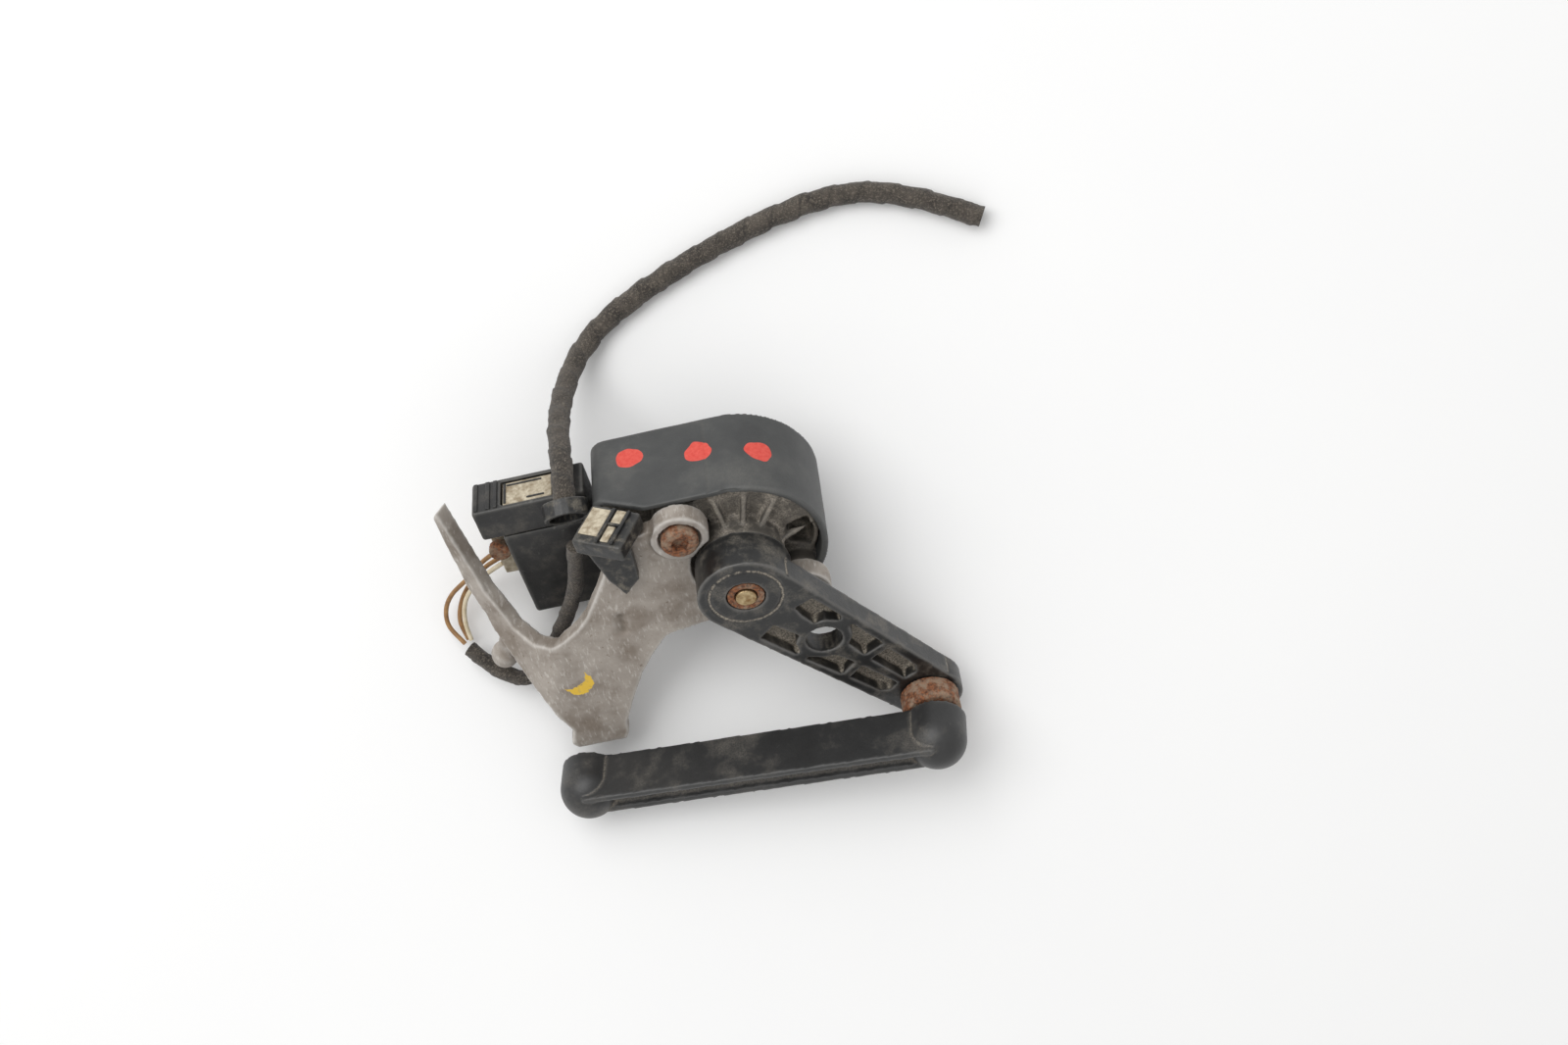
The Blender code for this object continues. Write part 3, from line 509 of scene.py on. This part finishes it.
def smoothRoute(points, stepMm):
    # evenly spaced points on a smooth curve through the route's points
    knots = [Vector(p) for p in points]
    knots = [2 * knots[0] - knots[1]] + knots + [2 * knots[-1] - knots[-2]]
    fine = []
    for a, b, c, d in zip(knots, knots[1:], knots[2:], knots[3:]):
        for i in range(12):
            t = i / 12
            fine.append(0.5 * (2 * b + (c - a) * t + (2 * a - 5 * b + 4 * c - d) * t * t
                               + (3 * b - a - 3 * c + d) * t ** 3))
    fine.append(knots[-2])
    reach = np.concatenate([[0], np.cumsum([(q - p).length for p, q in zip(fine, fine[1:])])])
    count = max(2, round(reach[-1] / (stepMm * mm)))
    wanted = np.linspace(0, reach[-1], count + 1)
    table = np.array(fine)
    line = [Vector(p) for p in np.column_stack([np.interp(wanted, reach, table[:, k]) for k in range(3)])]
    return line, float(reach[-1])


def sweptTube(name, line, radius, sides):
    # a round tube along the line, its rings in order
    curve = bpy.data.curves.new(name, "CURVE")
    curve.dimensions = "3D"
    curve.bevel_depth = radius
    curve.bevel_resolution = sides // 2 - 2
    curve.use_fill_caps = True
    spline = curve.splines.new("POLY")
    spline.points.add(len(line) - 1)
    for point, at in zip(spline.points, line):
        point.co = (*at, 1)
    helper = bpy.data.objects.new(name, curve)
    bpy.context.scene.collection.objects.link(helper)
    graph = bpy.context.evaluated_depsgraph_get()
    mesh = bpy.data.meshes.new_from_object(helper.evaluated_get(graph))
    bpy.data.objects.remove(helper)
    bpy.data.curves.remove(curve)
    return mesh


def turningFrames(line):
    # a direction square to the line at each point, carried along without twist
    side = Vector((0, 0, 1)) if abs((line[1] - line[0]).normalized().z) < 0.9 else Vector((1, 0, 0))
    found = []
    for i in range(len(line)):
        ahead = (line[min(i + 1, len(line) - 1)] - line[max(i - 1, 0)]).normalized()
        side = (side - ahead * side.dot(ahead)).normalized()
        found.append((side, ahead.cross(side)))
    return found


def windTape(mesh, line, radius, tape):
    # lifts the surface into overlapping turns of tape, and stores the thread directions
    step = (line[1] - line[0]).length / mm
    rings, frames = np.array(line), turningFrames(line)
    threadsPerMm = math.tau / winding["threadMm"]
    threads, overlap = [], []
    for vert in mesh.vertices:
        ring = int(np.argmin(((rings - np.array(vert.co)) ** 2).sum(axis=1)))
        outward = vert.co - line[ring]
        turn = math.atan2(outward.dot(frames[ring][1]), outward.dot(frames[ring][0])) / math.tau
        lengthMm = ring * step
        phase = (lengthMm / tape["tapePitchMm"] + turn) % 1.0
        crease = noise.noise(vert.co / (winding["wideCreaseMm"] * mm)) * winding["wideLiftMm"]
        crease += noise.noise(vert.co / (winding["fineCreaseMm"] * mm)) * winding["fineLiftMm"]
        lift = (phase - winding["levelPhase"]) * tape["tapeMm"] + crease
        if outward.length > 0.5 * radius:
            vert.co = line[ring] + outward * ((radius + lift * mm) / radius)
            vert.co.z = max(vert.co.z, winding["lowestMm"] * mm)
        threads += [lengthMm * threadsPerMm, turn * math.tau * radius / mm * threadsPerMm, 0]
        overlap.append(phase)
    mesh.attributes.new("threads", "FLOAT_VECTOR", "POINT")
    mesh.attributes.new("overlap", "FLOAT", "POINT")
    mesh.attributes["threads"].data.foreach_set("vector", threads)
    mesh.attributes["overlap"].data.foreach_set("value", overlap)


def makeHarness(finish):
    base = Vector((pivot.x, pivot.y, 0))
    route = [base + Vector(p) for p in harness["route"]]
    line, length = smoothRoute(route, harness["stepMm"])
    radius = harness["diameter"] / 2
    mesh = sweptTube("taped_harness", line, radius, harness["sides"])
    windTape(mesh, line, radius, harness)
    piece = newPiece("taped_harness", mesh, finish, "sensor")
    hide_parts("harness_cable")
    print("harness", round(length, 4), "m")


def makeLeads(tape, finishes):
    line, _ = smoothRoute([place(*p) for p in bundle["routeMm"]], bundle["stepMm"])
    mesh = sweptTube("taped_bundle", line, bundle["radiusMm"] * mm, bundle["sides"])
    windTape(mesh, line, bundle["radiusMm"] * mm, bundle)
    piece = newPiece("taped_bundle", mesh, tape, "sensor")
    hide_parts("tape_sleeve")
    for node, points in leads["routesMm"].items():
        line, _ = smoothRoute([place(*p) for p in points], leads["stepMm"])
        mesh = sweptTube("lead_" + node, line, leads["radiusMm"] * mm, leads["sides"])
        piece = newPiece("lead_" + node, mesh, finishes[node], "sensor")
        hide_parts(node)


# the rigid pieces, by CAD node: liftMm is the height of a waviness waveMm across, relax the
# smoothing passes, dents are (x, y, z, radius, depth) in body millimetres
cup = {"radiusMm": 9.1, "skirtMm": (-0.3, 8.1), "domeMm": (-9.5, 0.3), "domeSlackMm": 0.45}
studAtMm = (44.4, -61.1)
cupRounds = []
for cupCentre in (ballCentre, farCentre):
    cupRounds.append(roundFace(cupCentre, cupAxis, cup["radiusMm"], *cup["skirtMm"]))
    cupRounds.append(roundFace(cupCentre, cupAxis, cup["radiusMm"], *cup["domeMm"], cup["domeSlackMm"], True))
rigidPieces = {
    "protective_shell": {
        "name": "shell", "body": "sensor", "finish": "shell",
        "voxelMm": 0.5, "relax": 3, "liftMm": 0.06, "waveMm": 7.0,
        "rounds": [aboutPivot(26, 15, 52), aboutPivot(24, 15, 52)],
        "dents": [(1.5, 18.9, 25.5, 1.5, 0.9), (3.8, 18.9, 25.2, 1.2, 0.6)],
    },
    "sensor_housing": {
        "name": "housing", "body": "sensor", "finish": "housing",
        "voxelMm": 0.6, "relax": 3, "liftMm": 0.1, "waveMm": 2.5,
        "rounds": [aboutPivot(13, 12, 26), aboutPivot(23.7, 12, 48)], "floorMm": (15, 30),
    },
    "lever_arm": {
        "name": "lever", "body": "lever", "finish": "lever",
        "voxelMm": 0.4, "relax": 3, "liftMm": 0.05, "waveMm": 3.0,
        "rounds": [aboutPivot(14.2, -1, 14), aboutPivot(10.6, -1, 8, *studAtMm)], "floorMm": (3.2, 5.2),
    },
    "coupling_rod": {
        "name": "rod", "body": "rod", "finish": "rod",
        "voxelMm": 0.5, "relax": 5, "liftMm": 0.05, "waveMm": 6.0, "rounds": cupRounds,
    },
    "bracket": {
        "name": "bracket_casting", "body": "sensor", "finish": "bracket",
        "voxelMm": 0.45, "relax": 5, "liftMm": 0.12, "waveMm": 4.0,
        "dents": [(-40, 10.8, -10, 1.6, 1.1), (-40.2, 10.6, -12.5, 1.6, 1.2), (-40.6, 10.4, -15, 1.6, 1.0),
                  (-22.5, 13.5, 20.5, 2.0, 0.7)],
    },
    "ball_stud": {
        "name": "stud", "body": "lever", "finish": "rust",
        "voxelMm": 0.3, "relax": 2, "liftMm": 0.14, "waveMm": 1.0,
        "rounds": [aboutPivot(9, -8, 0, *studAtMm)],
    },
    "bracket_screw_upper": {
        "name": "screw_upper", "body": "sensor", "finish": "rust",
        "voxelMm": 0.25, "relax": 2, "liftMm": 0.14, "waveMm": 0.9,
    },
    "bracket_screw_lower": {
        "name": "screw_lower", "body": "sensor", "finish": "rust",
        "voxelMm": 0.25, "relax": 2, "liftMm": 0.14, "waveMm": 0.9,
    },
    "hub_insert": {
        "name": "hub_disc", "body": "lever", "finish": "rust",
        "voxelMm": 0.25, "relax": 1, "liftMm": 0.06, "waveMm": 0.8,
    },
    "pivot_shaft": {
        "name": "shaft", "body": "lever", "finish": "shaft",
        "voxelMm": 0.25, "relax": 1, "liftMm": 0.03, "waveMm": 0.8,
    },
    "plug_housing": {
        "name": "plug_body", "body": "sensor", "finish": "plug",
        "voxelMm": 0.3, "relax": 2, "liftMm": 0.04, "waveMm": 3.0,
    },
    "plug_latch": {
        "name": "latch_tab", "body": "latch", "finish": "sand",
        "voxelMm": 0.2, "relax": 1, "liftMm": 0.04, "waveMm": 1.5,
    },
    "connector_socket": {
        "name": "socket_body", "body": "sensor", "finish": "plug",
        "voxelMm": 0.4, "relax": 2, "liftMm": 0.04, "waveMm": 3.0,
    },
    "plug_end_cap": {
        "name": "end_cap", "body": "sensor", "finish": "sand",
        "voxelMm": 0.25, "relax": 2, "liftMm": 0.06, "waveMm": 1.5,
    },
    "connector_screw": {
        "name": "socket_screw", "body": "sensor", "finish": "rust",
        "voxelMm": 0.2, "relax": 1, "liftMm": 0.1, "waveMm": 0.8,
    },
    "edge_clip": {
        "name": "clip", "body": "sensor", "finish": "clip",
        "voxelMm": 0.3, "relax": 2, "liftMm": 0.08, "waveMm": 2.0,
    },
    "clip_strap": {
        "name": "strap", "body": "sensor", "finish": "clip",
        "voxelMm": 0.25, "relax": 2, "liftMm": 0.05, "waveMm": 2.0,
    },
}

# low bars and patches standing on the clip and the plug, each as its two far corners in millimetres
fittings = {
    "clip_dirt": {
        "body": "sensor", "finish": "sand", "slot": "sand_polyester",
        "aboutMm": (-34.2, 13.4, 27.2), "turnDeg": -28, "heightMm": 0.25, "bevelMm": 0.2,
        "bars": [((-7.0, -4.2), (-0.8, 6.0)), ((0.9, 1.4), (4.0, 6.4)), ((0.9, -5.6), (3.4, 0.2))],
    },
    "clip_ribs": {
        "body": "sensor", "finish": "clip", "slot": "clip_nylon",
        "aboutMm": (-34.2, 13.4, 27.2), "turnDeg": -28, "heightMm": 0.8, "bevelMm": 0.2,
        "bars": [((-0.5, -6.4), (0.6, 6.6)), ((0.6, 0.4), (4.4, 1.2)), ((4.4, -6.2), (5.4, 6.6))],
    },
    "latch_ridges": {
        "body": "latch", "finish": "plug", "slot": "plug_nylon",
        "aboutMm": (0, 0, 22.3), "turnDeg": 0, "heightMm": 0.35, "bevelMm": 0.15,
        "bars": [((-65.2, 43.4), (-54.4, 44.0)), ((-59.0, 36.9), (-53.6, 37.5)),
                 ((-66.2, 36.4), (-65.4, 44.6))],
    },
    "plug_end_bars": {
        "body": "sensor", "finish": "plug", "slot": "plug_nylon",
        "aboutMm": (0, 0, 22.8), "turnDeg": 0, "heightMm": 0.5, "bevelMm": 0.2,
        "bars": [((-75.2, 35.0), (-74.0, 46.2)), ((-71.6, 35.0), (-70.2, 46.2)),
                 ((-69.2, 35.0), (-68.0, 46.2))],
    },
}


def raisedBars(name, bars, finish):
    # bevelled bars on a face that looks along the body's +Z, sunk a little into it
    sunkMm = 0.4
    bm = bmesh.new()
    for low, high in bars["bars"]:
        made = bmesh.ops.create_cube(bm, size=1)["verts"]
        size = (high[0] - low[0], high[1] - low[1], bars["heightMm"] + sunkMm)
        middle = ((low[0] + high[0]) / 2, (low[1] + high[1]) / 2, (bars["heightMm"] - sunkMm) / 2)
        bmesh.ops.scale(bm, vec=size, verts=made)
        bmesh.ops.translate(bm, vec=middle, verts=made)
    bmesh.ops.bevel(bm, geom=bm.edges[:], offset=bars["bevelMm"], affect="EDGES", segments=3, profile=0.5,
                    material=-1)
    turn = Matrix.Rotation(math.radians(bars["turnDeg"]), 3, "Z")
    bmesh.ops.rotate(bm, verts=bm.verts, cent=(0, 0, 0), matrix=turn)
    for vert in bm.verts:
        vert.co = place(*(vert.co + Vector(bars["aboutMm"])))
    bmesh.ops.recalc_face_normals(bm, faces=bm.faces)
    mesh = bpy.data.meshes.new(name)
    bm.to_mesh(mesh)
    bm.free()
    newPiece(name, mesh, finish, bars["body"])


def dressInside(finishes):
    # the pieces inside the housing keep their CAD solids and get their finish
    for node, finish in finishes.items():
        data = frame["nodes"][node].data
        data.materials.clear()
        data.materials.append(finish)


studio = {"floorM": 3.0, "skyStrength": 0.72, "softboxM": (1.2, 0.8), "softboxWatts": 9.0,
          "softboxAtM": (-0.35, 0.55, 1.1)}


def setStage():
    bm = bmesh.new()
    bmesh.ops.create_grid(bm, x_segments=1, y_segments=1, size=studio["floorM"])
    mesh = bpy.data.meshes.new("floor")
    bm.to_mesh(mesh)
    bm.free()
    mesh.materials.append(backdropPaper())
    floor = bpy.data.objects.new("floor", mesh)
    bpy.context.scene.collection.objects.link(floor)
    world = bpy.data.worlds.new("studio")
    world.use_nodes = True
    world.node_tree.nodes["Background"].inputs["Color"].default_value = (1, 1, 1, 1)
    world.node_tree.nodes["Background"].inputs["Strength"].default_value = studio["skyStrength"]
    bpy.context.scene.world = world
    lamp = bpy.data.lights.new("softbox", "AREA")
    lamp.shape = "RECTANGLE"
    lamp.size, lamp.size_y = studio["softboxM"]
    lamp.energy = studio["softboxWatts"]
    softbox = bpy.data.objects.new("softbox", lamp)
    softbox.location = studio["softboxAtM"]
    softbox.rotation_euler = (-softbox.location).to_track_quat("-Z", "Y").to_euler()
    bpy.context.scene.collection.objects.link(softbox)
    bpy.context.scene.view_settings.view_transform = "Standard"


setCamera()
setStage()
print("camera and stage set")
tape = clothTape()
makeHarness(tape)
brownWire = plainMoulding("brown_wire_pvc", "#A07A4C", "#7F5C38", 0.45)
whiteWire = plainMoulding("white_wire_pvc", "#D9CDB4", "#BFB090", 0.45)
makeLeads(tape, {"wire_1": brownWire, "wire_2": whiteWire, "wire_3": brownWire})
print("cords laid")
nylon = {name: mouldedNylon(name, look)[0] for name, look in nylonLooks.items()}
finishes = {
    "shell": shellPlastic(),
    "housing": nylon["housing_nylon"],
    "lever": nylon["lever_nylon"],
    "rod": nylon["rod_nylon"],
    "plug": nylon["plug_nylon"],
    "clip": nylon["clip_nylon"],
    "bracket": castAluminium(),
    "rust": rustySteel(),
    "sand": plainMoulding("dirt_stained_polyester", "#C9BFA9", "#8F8069", 0.7, 2.0),
    "shaft": plainMetal("ground_steel", "#8C6F4A", "#C9B58E", 0.3),
}
for node, shape in rigidPieces.items():
    refined(node, shape, finishes[shape["finish"]])
for name, bars in fittings.items():
    raisedBars(name, bars, finishes[bars["finish"]])
brass = plainMetal("turned_brass", "#9C7A3A", "#D3B368", 0.3)
acetal = plainMoulding("moulded_acetal", "#E3E1DA", "#CFCBC0", 0.35)
dressInside({
    "rear_cover": nylon["black_nylon"],
    "shaft_bush": plainMetal("sintered_bronze", "#7A5730", "#A57C48", 0.5),
    "shaft_seal": plainMoulding("moulded_nitrile", "#171717", "#222222", 0.7),
    "circuit_board": plainMoulding("lacquered_epoxy_glass", "#145A32", "#0F4A2A", 0.35),
    "hall_sensor_chip": plainMoulding("moulded_epoxy", "#151516", "#222224", 0.5),
    "terminal_pin_1": brass,
    "terminal_pin_2": brass,
    "terminal_pin_3": brass,
    "threaded_insert_upper": brass,
    "threaded_insert_lower": brass,
    "magnet_carrier": nylon["black_nylon"],
    "ring_magnet": plainMoulding("sintered_ferrite", "#2C2A2A", "#3A3737", 0.6),
    "socket_liner_near": acetal,
    "socket_liner_far": acetal,
})
print("materials given")
